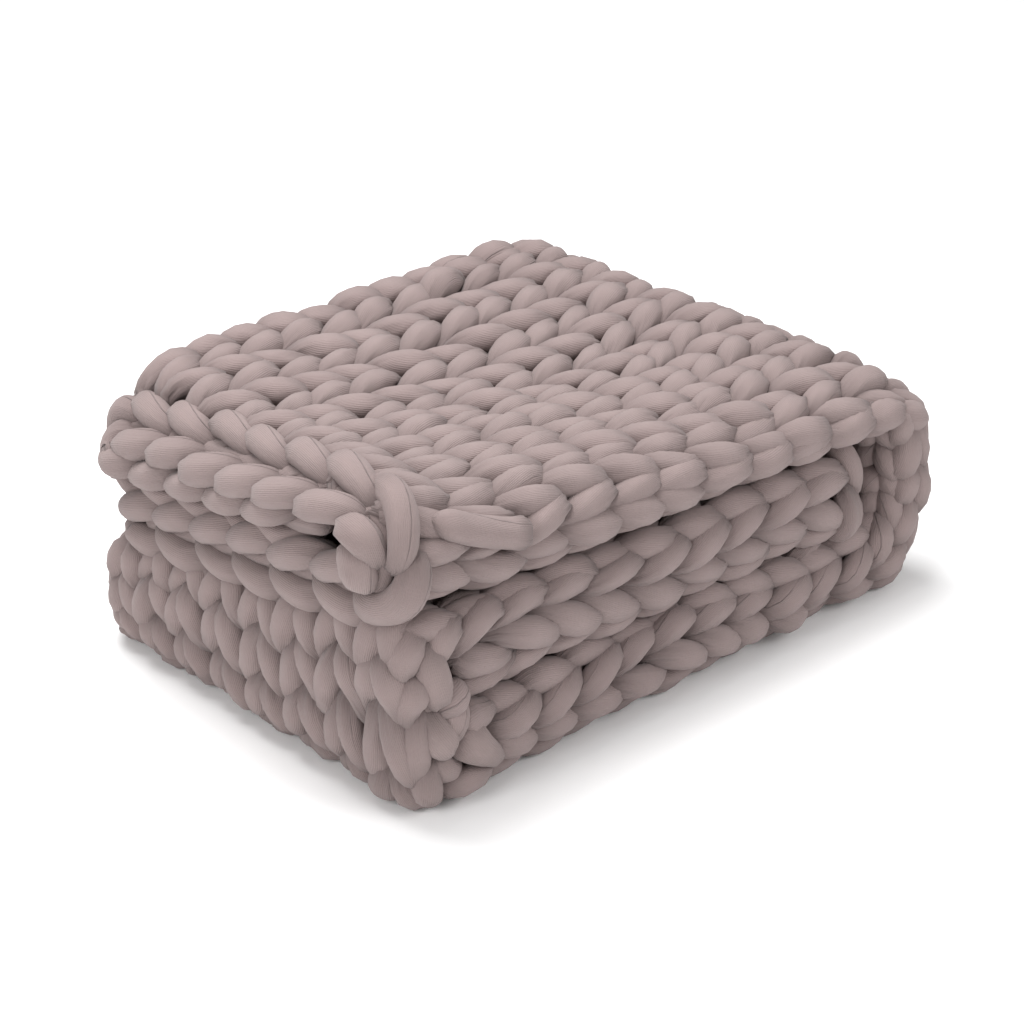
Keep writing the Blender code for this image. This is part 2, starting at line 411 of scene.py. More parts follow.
@dataclass(frozen=True)
class StitchGrid:
    """Stitches on the face: wales across it and courses along it, bowed and moved where they are."""

    face: OuterFace
    wale: float = 0.050
    near_wale_arc: float = 0.0220
    reference_s: float = 0.25
    course_pitches: tuple[float, ...] = (0.0475, 0.056, 0.042, 0.048, 0.047)
    bow: float = 0.60
    lean: float = 0.16
    floor_shift: float = 0.50
    first_bowed: float = -0.44
    wales_bowed: float = 8.8
    lean_fade: tuple[float, float] = (8.4, 1.5)
    top_fade: tuple[float, float] = (0.36, 0.18)
    shift_start: float = 0.06
    shift_length: float = 0.16
    edge_courses: float = 1.03
    selvedge_wales: float = 0.45
    samples: tuple[int, int] = (1500, 3000)

    @cached_property
    def wale_table(self) -> Pair:
        """Wale numbers against w, measured round the face across the top panel."""
        w = np.linspace(0, self.face.sheet.across.total, self.samples[0])
        arc = run_along(self.face.point(w, np.full_like(w, self.reference_s)))
        arc -= np.interp(self.face.sheet.near_wale, w, arc) + self.near_wale_arc
        return arc / self.wale, w

    @cached_property
    def course_table(self) -> Pair:
        """Course numbers against s, with each stretch's own pitch."""
        sheet = self.face.sheet
        s = np.linspace(0, sheet.along.total, self.samples[1])
        w = np.full_like(s, (sheet.near_wale + sheet.across.ends[3]) / 2)
        steps = np.linalg.norm(np.diff(self.face.point(w, s), axis=0), axis=1)
        stretch, _ = sheet.along.stretch((s[1:] + s[:-1]) / 2)
        counts = np.concatenate([[0.0], np.cumsum(steps / np.array(self.course_pitches)[stretch])])
        whole = round(counts[-1] - 2 * self.edge_courses) + 2 * self.edge_courses
        return counts * whole / counts[-1] - self.edge_courses, s

    @cached_property
    def wales(self) -> tuple[int, int]:
        """First and last wale that fit between the selvedges."""
        counts, _ = self.wale_table
        return math.ceil(counts[0] + self.selvedge_wales), math.floor(counts[-1] - self.selvedge_wales)

    @cached_property
    def courses(self) -> int:
        """Number of courses."""
        return int(round(self.course_table[0][-1] - self.edge_courses)) + 1

    @staticmethod
    def beyond(position: Array, counts: Array, places: Array) -> Array:
        """Read a table, and go on straight past its ends.

        Args:
            position: counts to read at.
            counts: the table's counts, rising.
            places: the places of those counts.

        Returns:
            The places of the positions.
        """
        inside = np.interp(position, counts, places)
        before = (places[1] - places[0]) / (counts[1] - counts[0])
        after = (places[-1] - places[-2]) / (counts[-1] - counts[-2])
        inside = np.where(position < counts[0], places[0] + (position - counts[0]) * before, inside)
        return np.where(position > counts[-1], places[-1] + (position - counts[-1]) * after, inside)

    def bowed(self, wale: Array, s: Array) -> Array:
        """Bow the top panel's wales, and move the floor panel's across.

        Args:
            wale: wale numbers.
            s: places along the sheet.

        Returns:
            Wale numbers to read in the wale table.
        """
        share = np.clip((wale - self.first_bowed) / self.wales_bowed, 0.0, 1.0)
        far = 1 - smooth_step((wale - self.lean_fade[0]) / self.lean_fade[1])
        on_top = 1 - smooth_step((s - self.top_fade[0]) / self.top_fade[1])
        ends = self.face.sheet.along.ends
        on_floor = smooth_step((s - ends[1] - self.shift_start) / self.shift_length)
        on_floor = on_floor * (1 - smooth_step((s - ends[3] + self.shift_start) / self.shift_length))
        bow = self.bow * np.sin(math.pi * share) ** 2 + self.lean * share * far
        return wale - bow * on_top + self.floor_shift * on_floor

    def sheet_position(self, wale: Array, course: Array) -> Pair:
        """Wale and course numbers, whole or not, to w and s."""
        s = self.beyond(course, *self.course_table)
        return self.beyond(self.bowed(wale, s), *self.wale_table), s


@dataclass
class TubePath:
    """Centreline of one run of yarn with its section at every knot."""

    points: Array
    normals: Array
    half_width: Array
    half_height: Array
    pinch: Array


class TubeMesh:
    """Collects swept tubes, each closed at its ends, and makes one mesh object of them."""

    CAP_RINGS = 3
    LEAST_CAP = 0.02
    SOFT_FLOOR = 5 * MM
    GATHER = 0.20
    GATHER_WAVES = (Wave(0.6, 5, 31), Wave(0.4, 7, -47))
    LUMP = 0.030
    LUMP_WAVES = (Wave(0.5, 2, 19), Wave(0.5, 3, -27, 1.0))

    def __init__(self, name: str) -> None:
        """Start with no tube, under the object's name."""
        self.name = name
        self.coordinates: list[Array] = []
        self.quads: list[Array] = []
        self.caps: list[list[int]] = []
        self.uvs: list[Array] = []
        self.pinches: list[Array] = []
        self.count = 0

    def section(self, path: TubePath, sides: int) -> Array:
        """Ring points of the tube.

        Args:
            path: centreline and section sizes.
            sides: points round the tube.

        Returns:
            Points by ring and side.
        """
        tangent = unit(np.gradient(path.points, axis=0))
        side = unit(np.cross(tangent, path.normals))
        up = np.cross(side, tangent)
        angle = np.linspace(0, 2 * math.pi, sides, endpoint=False)
        ring = np.arange(len(path.points))
        cap = np.minimum(ring, ring[::-1]) / self.CAP_RINGS
        close = np.sqrt(np.clip(1 - (1 - np.clip(cap, self.LEAST_CAP, 1.0)) ** 2, 0.0, 1.0))
        turn, run = angle[None, :], run_along(path.points)[:, None]
        gather = ripple(self.GATHER_WAVES, turn, run)
        lump = ripple(self.LUMP_WAVES, turn, run)
        swell = (1 + self.GATHER * path.pinch[:, None] * gather + self.LUMP * lump)[:, :, None]
        width = (path.half_width * close)[:, None, None] * swell
        height = (path.half_height * close)[:, None, None] * swell
        across = np.cos(angle)[None, :, None] * side[:, None, :] * width
        through = np.sin(angle)[None, :, None] * up[:, None, :] * height
        return path.points[:, None, :] + across + through

    def add(self, path: TubePath, sides: int) -> None:
        """Sweep one tube and keep it.

        Args:
            path: centreline and section sizes.
            sides: points round the tube.
        """
        rings = self.section(path, sides)
        count = len(rings)
        run = run_along(path.points)
        i, j = np.meshgrid(np.arange(count - 1), np.arange(sides), indexing="ij")
        i, j = i.ravel(), j.ravel()
        after = (j + 1) % sides
        here, there = i * sides, (i + 1) * sides
        quads = np.stack([here + j, here + after, there + after, there + j], axis=1)
        girth = np.arange(sides + 1) / sides
        corner = [(i, j), (i, j + 1), (i + 1, j + 1), (i + 1, j)]
        uv = np.stack([np.stack([run[a], girth[b]], axis=1) for a, b in corner], axis=1)
        self.coordinates.append(rings.reshape(-1, 3))
        self.quads.append(quads + self.count)
        self.uvs.append(uv.reshape(-1, 2))
        last = self.count + (count - 1) * sides
        self.caps.append(list(range(self.count + sides - 1, self.count - 1, -1)))
        self.caps.append(list(range(last, last + sides)))
        self.pinches.append(np.repeat(path.pinch, sides))
        self.count += count * sides

    @classmethod
    def rest_on_floor(cls, points: Array) -> Array:
        """Flatten what would sink into the floor."""
        z, soft = points[:, 2], cls.SOFT_FLOOR
        points[:, 2] = np.where(z < soft, soft * np.exp(np.minimum(z - soft, 0.0) / soft), z)
        return points

    def build(self) -> bpy.types.Object:
        """Make the mesh object with its yarn map and pinch attribute.

        Returns:
            The object, linked to the scene.
        """
        points = self.rest_on_floor(np.concatenate(self.coordinates))
        quads = np.concatenate(self.quads)
        cap_corners = np.concatenate(self.caps)
        sizes = np.array([len(cap) for cap in self.caps])
        corners = np.concatenate([quads.ravel(), cap_corners])
        cap_starts = len(quads) * 4 + np.concatenate([[0], np.cumsum(sizes)[:-1]])
        starts = np.concatenate([np.arange(len(quads)) * 4, cap_starts])
        mesh = bpy.data.meshes.new(self.name)
        mesh.vertices.add(len(points))
        mesh.vertices.foreach_set("co", points.ravel())
        mesh.loops.add(len(corners))
        mesh.loops.foreach_set("vertex_index", corners)
        mesh.polygons.add(len(starts))
        mesh.polygons.foreach_set("loop_start", starts)
        mesh.polygons.foreach_set("use_smooth", np.ones(len(starts), dtype=bool))
        uv_map = mesh.uv_layers.new(name="yarn")
        uvs = np.concatenate([np.concatenate(self.uvs), np.zeros((len(cap_corners), 2))])
        uv_map.data.foreach_set("uv", uvs.ravel())
        pinch = mesh.attributes.new("pinch", "FLOAT", "POINT")
        pinch.data.foreach_set("value", np.concatenate(self.pinches))
        mesh.update(calc_edges=True)
        mesh.validate()
        piece = bpy.data.objects.new(self.name, mesh)
        bpy.context.scene.collection.objects.link(piece)
        return piece


@dataclass(frozen=True)
class Station:
    """One station of the yarn on its way through half a stitch.

    across is in wales from the stitch's middle, along in courses, pinch from 0 to 1, the rest in
    millimetres. Pinch puckers the tube and also paints shade into its colour, darkest at 1.
    """

    across: float
    along: float
    depth: float
    half_width: float
    half_height: float
    pinch: float


def station_rows(stations: tuple[Station, ...]) -> Array:
    """The stations as one row of numbers each."""
    return np.array([astuple(station) for station in stations])


@dataclass(frozen=True)
class Stitch:
    """Run of the yarn through one stitch, from the middle of one sinker to the next."""

    stations: tuple[Station, ...] = (
        Station(-0.500, 0.70, 30.0, 8.0, 7.0, 0.0),
        Station(-0.270, 0.84, 29.0, 8.0, 7.0, 0.3),
        Station(-0.070, 0.80, 25.5, 8.0, 7.0, 1.0),
        Station(-0.085, 0.60, 18.0, 10.8, 10.4, 0.8),
        Station(-0.150, 0.32, 13.8, 12.9, 12.8, 0.25),
        Station(-0.240, 0.02, 13.2, 13.1, 13.2, 0.0),
        Station(-0.335, -0.30, 14.6, 11.6, 12.0, 0.25),
        Station(-0.420, -0.58, 20.0, 8.6, 9.2, 0.7),
        Station(-0.445, -0.80, 26.0, 7.6, 7.0, 0.8),
        Station(-0.270, -0.90, 30.0, 8.0, 7.0, 0.3),
        Station(0.000, -0.82, 32.0, 8.0, 7.0, 0.0),
    )
    wale: float = 50.0
    course: float = 47.0
    curve_steps: int = 12

    @cached_property
    def knots(self) -> Array:
        """Stations of the whole stitch, the second half mirrored, one row each."""
        half = station_rows(self.stations)
        mirrored = half[-2::-1].copy()
        mirrored[:, 0] *= -1
        return np.concatenate([half, mirrored])

    def smooth(self) -> Array:
        """Rows on a smooth curve through the stations, running on into the next stitches."""
        knots = self.knots
        before, after = knots[-2:-1].copy(), knots[1:2].copy()
        before[:, 0] -= 1
        after[:, 0] += 1
        knots = np.concatenate([before, knots, after])
        rows = []
        share = (np.arange(self.curve_steps) / self.curve_steps)[:, None]
        for k in range(1, len(knots) - 2):
            p0, p1, p2, p3 = knots[k - 1:k + 3]
            rows.append(0.5 * (2 * p1 + (p2 - p0) * share + (2 * p0 - 5 * p1 + 4 * p2 - p3) * share ** 2
                               + (3 * p1 - p0 - 3 * p2 + p3) * share ** 3))
        return np.concatenate(rows + [knots[-2:-1]])

    def sample(self, rings: int) -> Pair:
        """Rings at even steps along the yarn.

        Args:
            rings: how many rings the stitch has.

        Returns:
            The rows of the rings, and each one's way through its own leg from 0 to 1.
        """
        rows = self.smooth()
        run = run_along(rows[:, :3] * np.array([self.wale, self.course, 1.0]))
        places = np.arange(rings) / rings * run[-1]
        return read_columns(places, run, rows), places / run[-1] * 2 % 1


@dataclass(frozen=True)
class Run:
    """Wales that one tube takes, and how finely."""

    first: int
    last: int
    rings: int
    sides: int


@dataclass
class KnitBody:
    """All courses of the sheet: each is swept as three tubes end to end, from selvedge to selvedge.

    A detail is the rings of a stitch and the sides of its tube.  A spread is the size of a random
    change from leg to leg, and the wander is in millimetres over s and w.
    """

    grid: StitchGrid
    rng: np.random.Generator
    stitch: Stitch = field(default_factory=Stitch)
    names: tuple[str, ...] = ("top_bind_off_courses", "top_courses", "right_turn_courses",
                              "floor_courses", "left_turn_courses", "middle_courses")
    hidden_detail: tuple[int, int] = (12, 12)
    shown_detail: tuple[int, int] = (28, 22)
    shown_margins: tuple[float, float] = (0.035, 0.030)
    shown_fade: float = 0.030
    shown_lead: float = 0.6
    hidden_flatness: float = 0.55
    hidden_tuck: float = 0.35
    unevenness: float = 1.25
    wale_spread: float = 0.035
    course_spread: float = 0.05
    girth_spread: float = 0.06
    depth_spread: float = 1.5 * MM
    wander_across: tuple[Wave, ...] = (Wave(4.0, 21, 9), Wave(3.0, 9, -17, 1.0))
    wander_along: tuple[Wave, ...] = (Wave(4.0, 7, 23, 2.0), Wave(3.0, -13, 11))
    edge_inset: float = 0.017
    edge_fade: float = 0.030
    edge_thinning: float = 0.80
    edge_depth: float = 13.0 * MM
    crowded_depth: float = 24.0 * MM
    crowded_growth: float = 0.42
    crowded_thinning: float = 0.25
    crowd_fade: float = 0.03
    crowd_leads: tuple[float, float] = (0.6, 0.4)
    crowd_top: float = 0.012
    crowd_rise: float = 0.022

    def runs(self) -> list[Run]:
        """Split the wales into those on the outside of the stack and those inside it.

        Returns:
            The hidden lower run, the one that shows and the tucked one.
        """
        first, last = self.grid.wales
        sheet = self.grid.face.sheet
        numbers = np.arange(first, last + 1)
        w, _ = self.grid.sheet_position(numbers.astype(float), np.ones(len(numbers)))
        before, after = self.shown_margins
        shows = numbers[(w > sheet.across.ends[1] - before) & (w < sheet.across.ends[4] + after)]
        return [Run(first, shows[0] - 1, *self.hidden_detail), Run(shows[0], shows[-1], *self.shown_detail),
                Run(shows[-1] + 1, last, *self.hidden_detail)]

    def showing(self, w: Array) -> Array:
        """How much of a place across the sheet lies on the outside of the stack."""
        ends = self.grid.face.sheet.across.ends
        return window(w, ends[1], ends[4], self.shown_fade, lead=self.shown_lead)

    def crowding(self, w: Array, s: Array) -> Array:
        """How much the courses crowd: on the near side of the left turn, where they fan inwards."""
        sheet = self.grid.face.sheet
        in_turn = window(s, sheet.along.ends[3], sheet.along.ends[4], self.crowd_fade, *self.crowd_leads)
        return in_turn * smooth_step((sheet.near_wale + self.crowd_top - w) / self.crowd_rise)

    def leg_noise(self, leg: Array, way: Array, spread: float) -> Array:
        """One random value for each leg, full at its middle and nothing at its ends."""
        values = self.rng.normal(0.0, spread * self.unevenness, leg.max() + 1)
        return values[leg] * np.sin(math.pi * way) ** 2

    def wander(self, w: Array, s: Array) -> Pair:
        """Slow drift of the stitches over the sheet, in metres."""
        return ripple(self.wander_across, s, w) * MM, ripple(self.wander_along, s, w) * MM

    def course_path(self, course: int, run: Run) -> TubePath:
        """Centreline and sections of one run of a course.

        Args:
            course: number of the course from the bind-off edge.
            run: wales that the tube takes.

        Returns:
            The yarn's run through those wales.
        """
        rows, way = self.stitch.sample(run.rings)
        count = run.last - run.first + 1
        stitches = np.tile(rows, (count, 1))
        way = np.tile(way, count)
        order = np.arange(len(stitches))
        leg = (order * 2 // run.rings).astype(int)
        wale = stitches[:, 0] + run.first + order // run.rings
        wale = wale + self.leg_noise(leg, way, self.wale_spread)
        along = course + stitches[:, 1] + self.leg_noise(leg, way, self.course_spread)
        w, s = self.grid.sheet_position(wale, along)
        drift_w, drift_s = self.wander(w, s)
        total = self.grid.face.sheet.along.total
        w, s = w + drift_w, np.clip(s + drift_s, self.edge_inset, total - self.edge_inset)
        point, normal = self.grid.face.frame_at(w, s)
        shown = self.showing(w)
        crowd = self.crowding(w, s)
        behind = crowd * (course % 2)
        inside = smooth_step(np.minimum(s, total - s) / self.edge_fade)
        swell = 1 + self.leg_noise(leg, way, self.girth_spread)
        swell = swell + self.crowded_growth * (crowd - behind) - self.crowded_thinning * behind
        swell = swell * mix(self.edge_thinning, 1.0, inside)
        leg_height = max(station.half_height for station in self.stitch.stations) * MM
        flat = mix(self.hidden_flatness, 1.0, shown)
        extra = (stitches[:, 2] * MM - leg_height) * mix(self.hidden_tuck, 1.0, shown)
        depth = leg_height * flat + extra + self.leg_noise(leg, way, self.depth_spread)
        depth = depth + self.crowded_depth * behind + self.edge_depth * (1 - inside) * shown
        return TubePath(point - depth[:, None] * normal, normal, stitches[:, 3] * MM * swell,
                        stitches[:, 4] * MM * swell * flat, stitches[:, 5])

    def build(self) -> list[bpy.types.Object]:
        """Sweep all courses, in pieces of a few courses each.

        Returns:
            The pieces, from the bind-off edge on.
        """
        runs = self.runs()
        pieces = []
        edges = np.linspace(0, self.grid.courses, len(self.names) + 1).round().astype(int)
        for name, start, stop in zip(self.names, edges[:-1], edges[1:]):
            tube = TubeMesh(name)
            for course in range(start, stop):
                for run in runs:
                    tube.add(self.course_path(course, run), run.sides)
            pieces.append(tube.build())
            LOG.info("%s: courses %d to %d, %d points", name, start, stop - 1, tube.count)
        return pieces


class EdgeKind(Enum):
    """The two chained ends of the sheet."""

    BIND_OFF = "bind_off_chain"
    CAST_ON = "cast_on_chain"


@dataclass
class ChainEdge:
    """Braided chain of open loops that closes an end of the sheet.

    The stations give one leg of a loop: along in pitches, across in widths, the rest as in a
    stitch.  The other leg is its mirror, and the next loop comes out from under the tip.
    """

    face: OuterFace
    kind: EdgeKind
    rng: np.random.Generator
    stations: tuple[Station, ...] = (
        Station(0.30, -0.34, 17.0, 7.0, 7.0, 1.0),
        Station(0.40, -0.12, 7.0, 11.4, 11.0, 0.5),
        Station(0.40, 0.16, 1.0, 13.4, 13.0, 0.05),
        Station(0.30, 0.52, 0.0, 13.4, 13.0, 0.0),
        Station(0.18, 0.88, 3.0, 11.6, 11.2, 0.3),
        Station(0.12, 1.10, 11.0, 8.0, 7.6, 1.0),
        Station(0.04, 1.28, 22.0, 6.0, 6.0, 1.0),
    )
    pitch: float = 0.058
    corner_pitch: float = 0.066
    width: float = 0.050
    corner_width: float = 0.060
    corner_spread: float = 0.055
    corner_growth: float = 1.10
    corner_phase: float = -0.012
    middle_n: float = 4.0 * MM
    stand_out: float = -5.5 * MM
    tilt: float = 0.15
    open_tilt: float = 0.85
    inner_inset: float = 6.0 * MM
    open_fade: float = 0.03
    open_lead: float = 0.5
    ease: float = 0.016
    ease_reach: int = 3
    sway: float = 0.04
    inner_step: float = 12.0 * MM
    side_step: float = 2.0 * MM
    samples: int = 1200
    core_swell: float = 0.08
    core_radius: float = 10.5 * MM
    core_depth: float = 11.0 * MM
    core_margin: float = 0.012
    # The core's pinch also paints it a little darker: painted shade between the loops
    core_pinch: float = 0.3
    core_rings: int = 300
    smoothing: int = 3
    rings: int = 22
    sides: int = 20

    def eased(self, run: Array, values: Array) -> Array:
        """Smooth values along the edge, so that a loop bends gently where the cloth turns tightly.

        Args:
            run: distance along the edge at each row.
            values: the rows.

        Returns:
            Smoothed rows at even steps along the edge.
        """
        even = np.linspace(0.0, run[-1], len(run))
        step = even[1] - even[0]
        reach = int(self.ease_reach * self.ease / step)
        weight = np.exp(-0.5 * (np.arange(-reach, reach + 1) * step / self.ease) ** 2)
        columns = []
        for column in values.T:
            padded = np.pad(np.interp(even, run, column), reach, mode="reflect", reflect_type="odd")
            columns.append(np.convolve(padded, weight / weight.sum(), mode="valid"))
        return np.stack(columns, axis=1)

    def edge_frames(self) -> tuple[Array, ...]:
        """Follow the edge.

        Returns:
            Run so far, w, point, outward and side direction at even steps along the edge.
        """
        sheet = self.face.sheet
        w = np.linspace(0.0, sheet.across.total, self.samples)
        at_start = self.kind is EdgeKind.BIND_OFF
        s = np.full_like(w, 0.0 if at_start else sheet.along.total)
        inner = s + (self.inner_step if at_start else -self.inner_step)
        n = np.full_like(w, self.middle_n)
        point = sheet.place(w, s, n) + self.face.offset
        outward = unit(point - (sheet.place(w, inner, n) + self.face.offset))
        side = unit(sheet.place(w, s, n + self.side_step) + self.face.offset - point)
        run = run_along(point)
        even = np.linspace(0.0, run[-1], len(run))
        eased = [self.eased(run, values) for values in (point, outward, side)]
        return even, np.interp(even, run, w), eased[0], unit(eased[1]), unit(eased[2])

    def links(self, run: Array, w: Array) -> list[tuple[float, float]]:
        """Set the loops out from the near corner both ways.

        Args:
            run: distances along the edge.
            w: places across the sheet at those distances.

        Returns:
            Place of every loop along the edge, and how much it belongs to the near corner.
        """
        corner = float(np.interp(self.face.sheet.near_wale, w, run)) + self.corner_phase
        found = []
        for way in (-1, 1):
            place = corner
            while 0.0 < place < run[-1]:
                near = math.exp(-((place - corner) / self.corner_spread) ** 2)
                if way > 0 or place != corner:
                    found.append((place, near))
                place += way * mix(self.pitch, self.corner_pitch, near)
        return sorted(found)

    def leg(self, middle: float, near: float, hand: int, edge: tuple[Array, ...]) -> TubePath:
        """One leg of a loop.

        Args:
            middle: the loop's place along the edge.
            near: how much it belongs to the near corner.
            hand: 1 for the leg on the outer face's side, -1 for the other.
            edge: what edge_frames gives.

        Returns:
            The leg's path and sections.
        """
        knots = station_rows(self.stations)
        t = np.linspace(0, len(knots) - 1, self.rings)
        rows = read_columns(t, np.arange(len(knots)), knots)
        for _ in range(self.smoothing):
            rows[1:-1] = (rows[:-2] + 2 * rows[1:-1] + rows[2:]) / 4
        grow = mix(1.0, self.corner_growth, near)
        sway = self.rng.normal(0, self.sway, 3) * np.sin(math.pi * t / t[-1])[:, None]
        gone = middle - (rows[:, 1] + sway[:, 0]) * mix(self.pitch, self.corner_pitch, near)
        beside = hand * (rows[:, 0] + sway[:, 1]) * mix(self.width, self.corner_width, near)
        at, facing, beside_way = self.facing_way(gone, edge)
        depth = rows[:, 2] * MM * grow - self.stand_out
        path = at - depth[:, None] * facing + beside[:, None] * beside_way
        swell = grow * (1 + sway[:, 2]) * MM
        return TubePath(path, facing, rows[:, 3] * swell, rows[:, 4] * swell, rows[:, 5])

    def facing_way(self, gone: Array, edge: tuple[Array, ...]) -> tuple[Array, ...]:
        """Turn the chain outwards.

        Args:
            gone: places along the edge.
            edge: what edge_frames gives.

        Returns:
            Points of the edge, the way that the chain faces there, and the way across it.
        """
        run, w, *frames = edge
        at, out, up = (read_columns(gone, run, values) for values in frames)
        past_fold = np.interp(gone, run, w) - self.face.sheet.across.ends[1]
        opened = smooth_step(past_fold / self.open_fade + self.open_lead)
        facing = unit(out + mix(self.tilt, self.open_tilt, opened)[:, None] * up)
        at = at - (self.inner_inset * (1 - opened))[:, None] * facing
        return at, facing, unit(up - np.sum(up * facing, axis=1, keepdims=True) * facing)

    def core(self, edge: tuple[Array, ...]) -> TubePath:
        """Yarn that runs inside the chain and closes the view between its loops.

        Args:
            edge: what edge_frames gives.

        Returns:
            The core's path and sections.
        """
        gone = np.linspace(self.core_margin, edge[0][-1] - self.core_margin, self.core_rings)
        at, facing, _ = self.facing_way(gone, edge)
        radius = self.core_radius * (1 + self.core_swell * np.sin(gone * 2 * math.pi / self.pitch))
        path = at - (self.core_depth - self.stand_out) * facing
        return TubePath(path, facing, radius, radius, np.full_like(gone, self.core_pinch))

    def build(self) -> bpy.types.Object:
        """Sweep the core and both legs of every loop.

        Returns:
            The chain.
        """
        edge = self.edge_frames()
        tube = TubeMesh(self.kind.value)
        tube.add(self.core(edge), self.sides)
        links = self.links(*edge[:2])
        for middle, near in links:
            for hand in (1, -1):
                tube.add(self.leg(middle, near, hand, edge), self.sides)
        piece = tube.build()
        LOG.info("%s: %d loops, %d points", tube.name, len(links), tube.count)
        return piece


@dataclass(frozen=True)
class YarnEnd:
    """Last stretch of the tube, tucked along the near fold, with its end gathered and sewn shut."""

    face: OuterFace
    start_s: float = 0.036
    length: float = 0.080
    above_fold: float = 0.015
    fall: float = 0.009
    sink: float = 1.0 * MM
    radius: float = 12.5 * MM
    first_girth: float = 0.6
    opening_share: float = 0.18
    opening_lift: float = 0.6
    closing_start: float = 0.72
    closing_share: float = 0.28
    wide_end: float = 1.06
    flat_end: float = 0.55
    # The end's pinch puckers it and also paints shade into its colour
    end_pinch: float = 0.7
    rings: int = 30
    sides: int = 24

    def build(self) -> bpy.types.Object:
        """Sweep the tube along the fold and flatten its sewn end.

        Returns:
            The yarn end.
        """
        share = np.linspace(0.0, 1.0, self.rings)
        w = self.face.sheet.near_wale + self.above_fold - self.fall * share
        point, normal = self.face.frame_at(w, self.start_s + self.length * share)
        closing = smooth_step((share - self.closing_start) / self.closing_share)
        opening = smooth_step(share / self.opening_share)
        girth = self.radius * mix(self.first_girth, 1.0, opening)
        half_width = girth * mix(1.0, self.wide_end, closing)
        half_height = girth * mix(1.0, self.flat_end, closing)
        path = point - (self.sink * (1 - self.opening_lift * opening))[:, None] * normal
        tube = TubeMesh("yarn_end")
        tube.add(TubePath(path, normal, half_width, half_height, self.end_pinch * closing), self.sides)
        LOG.info("%s: %d points", tube.name, tube.count)
        return tube.build()


def math_method(operation: str) -> Callable[["Socket", "Socket | float"], "Socket"]:
    """Make the method of an arithmetic sign: it adds one Math node."""
    return lambda socket, other: socket.math(operation, other)


class Socket:
    """A shader value that can be written into sums."""

    def __init__(self, nodes: "NodeSet", link: bpy.types.NodeSocket) -> None:
        """Wrap one output socket."""
        self.nodes = nodes
        self.link = link

    def math(self, operation: str, *values: "Socket | float") -> "Socket":
        """Add a Math node on this value."""
        inputs = dict(enumerate((self, *values)))
        return self.nodes.add("ShaderNodeMath", {"operation": operation}, inputs)

    __add__ = __radd__ = math_method("ADD")
    __mul__ = __rmul__ = math_method("MULTIPLY")
    __sub__ = math_method("SUBTRACT")

    def __rsub__(self, other: float) -> "Socket":
        """Difference from a number."""
        return self.math("MULTIPLY_ADD", -1.0, other)


class NodeSet:
    """The nodes of one material, added by type, settings and inputs."""

    def __init__(self, tree: bpy.types.NodeTree) -> None:
        """Keep the tree that the nodes go into."""
        self.tree = tree

    def add(self, kind: str, settings: dict, inputs: dict, output: int | str = 0) -> Socket:
        """Add one node.

        Args:
            kind: the node's type.
            settings: its properties, or the stops of its ramp under "stops".
            inputs: values or sockets by input name or number.
            output: name or number of the output that is wanted.

        Returns:
            The wrapped output.
        """
        node = self.tree.nodes.new(kind)
        for name, value in settings.items():
            if name == "stops":
                for stop, (place, tone) in zip(node.color_ramp.elements, value):
                    stop.position, stop.color = place, (tone, tone, tone, 1.0)
            else:
                setattr(node, name, value)
        for name, value in inputs.items():
            if isinstance(value, Socket):
                self.tree.links.new(value.link, node.inputs[name])
            else:
                node.inputs[name].default_value = value
        return Socket(self, node.outputs[output])


class YarnMap:
    """Where a point lies on the yarn: how far along it, what share of the way round, how pinched."""

    def __init__(self, nodes: NodeSet) -> None:
        """Read the mesh's yarn map and pinch attribute."""
        self.nodes = nodes
        uv = nodes.add("ShaderNodeUVMap", {"uv_map": "yarn"}, {})
        self.run, self.turn = (nodes.add("ShaderNodeSeparateXYZ", {}, {0: uv}, axis) for axis in (0, 1))
        self.pinch = nodes.add("ShaderNodeAttribute", {"attribute_name": "pinch"}, {}, "Fac")

    def noise(self, kind: Triple) -> Socket:
        """Noise that closes round the tube.

        Args:
            kind: how far it is drawn out along the tube, its turns round it, and its detail.

        Returns:
            The noise, about 0.
        """
        stretch, turns, detail = kind
        angle = self.turn * (2 * math.pi)
        radius = turns / (2 * math.pi)
        place = self.nodes.add("ShaderNodeCombineXYZ", {}, {
            0: angle.math("COSINE") * radius, 1: angle.math("SINE") * radius, 2: self.run * stretch})
        inputs = {"Vector": place, "Scale": 1.0, "Detail": detail}
        return self.nodes.add("ShaderNodeTexNoise", {}, inputs) - 0.5

    def streak(self, rate: float) -> Socket:
        """Noise about one half that changes only along the yarn."""
        inputs = {"W": self.run * rate, "Scale": 1.0}
        return self.nodes.add("ShaderNodeTexNoise", {"noise_dimensions": "1D"}, inputs)


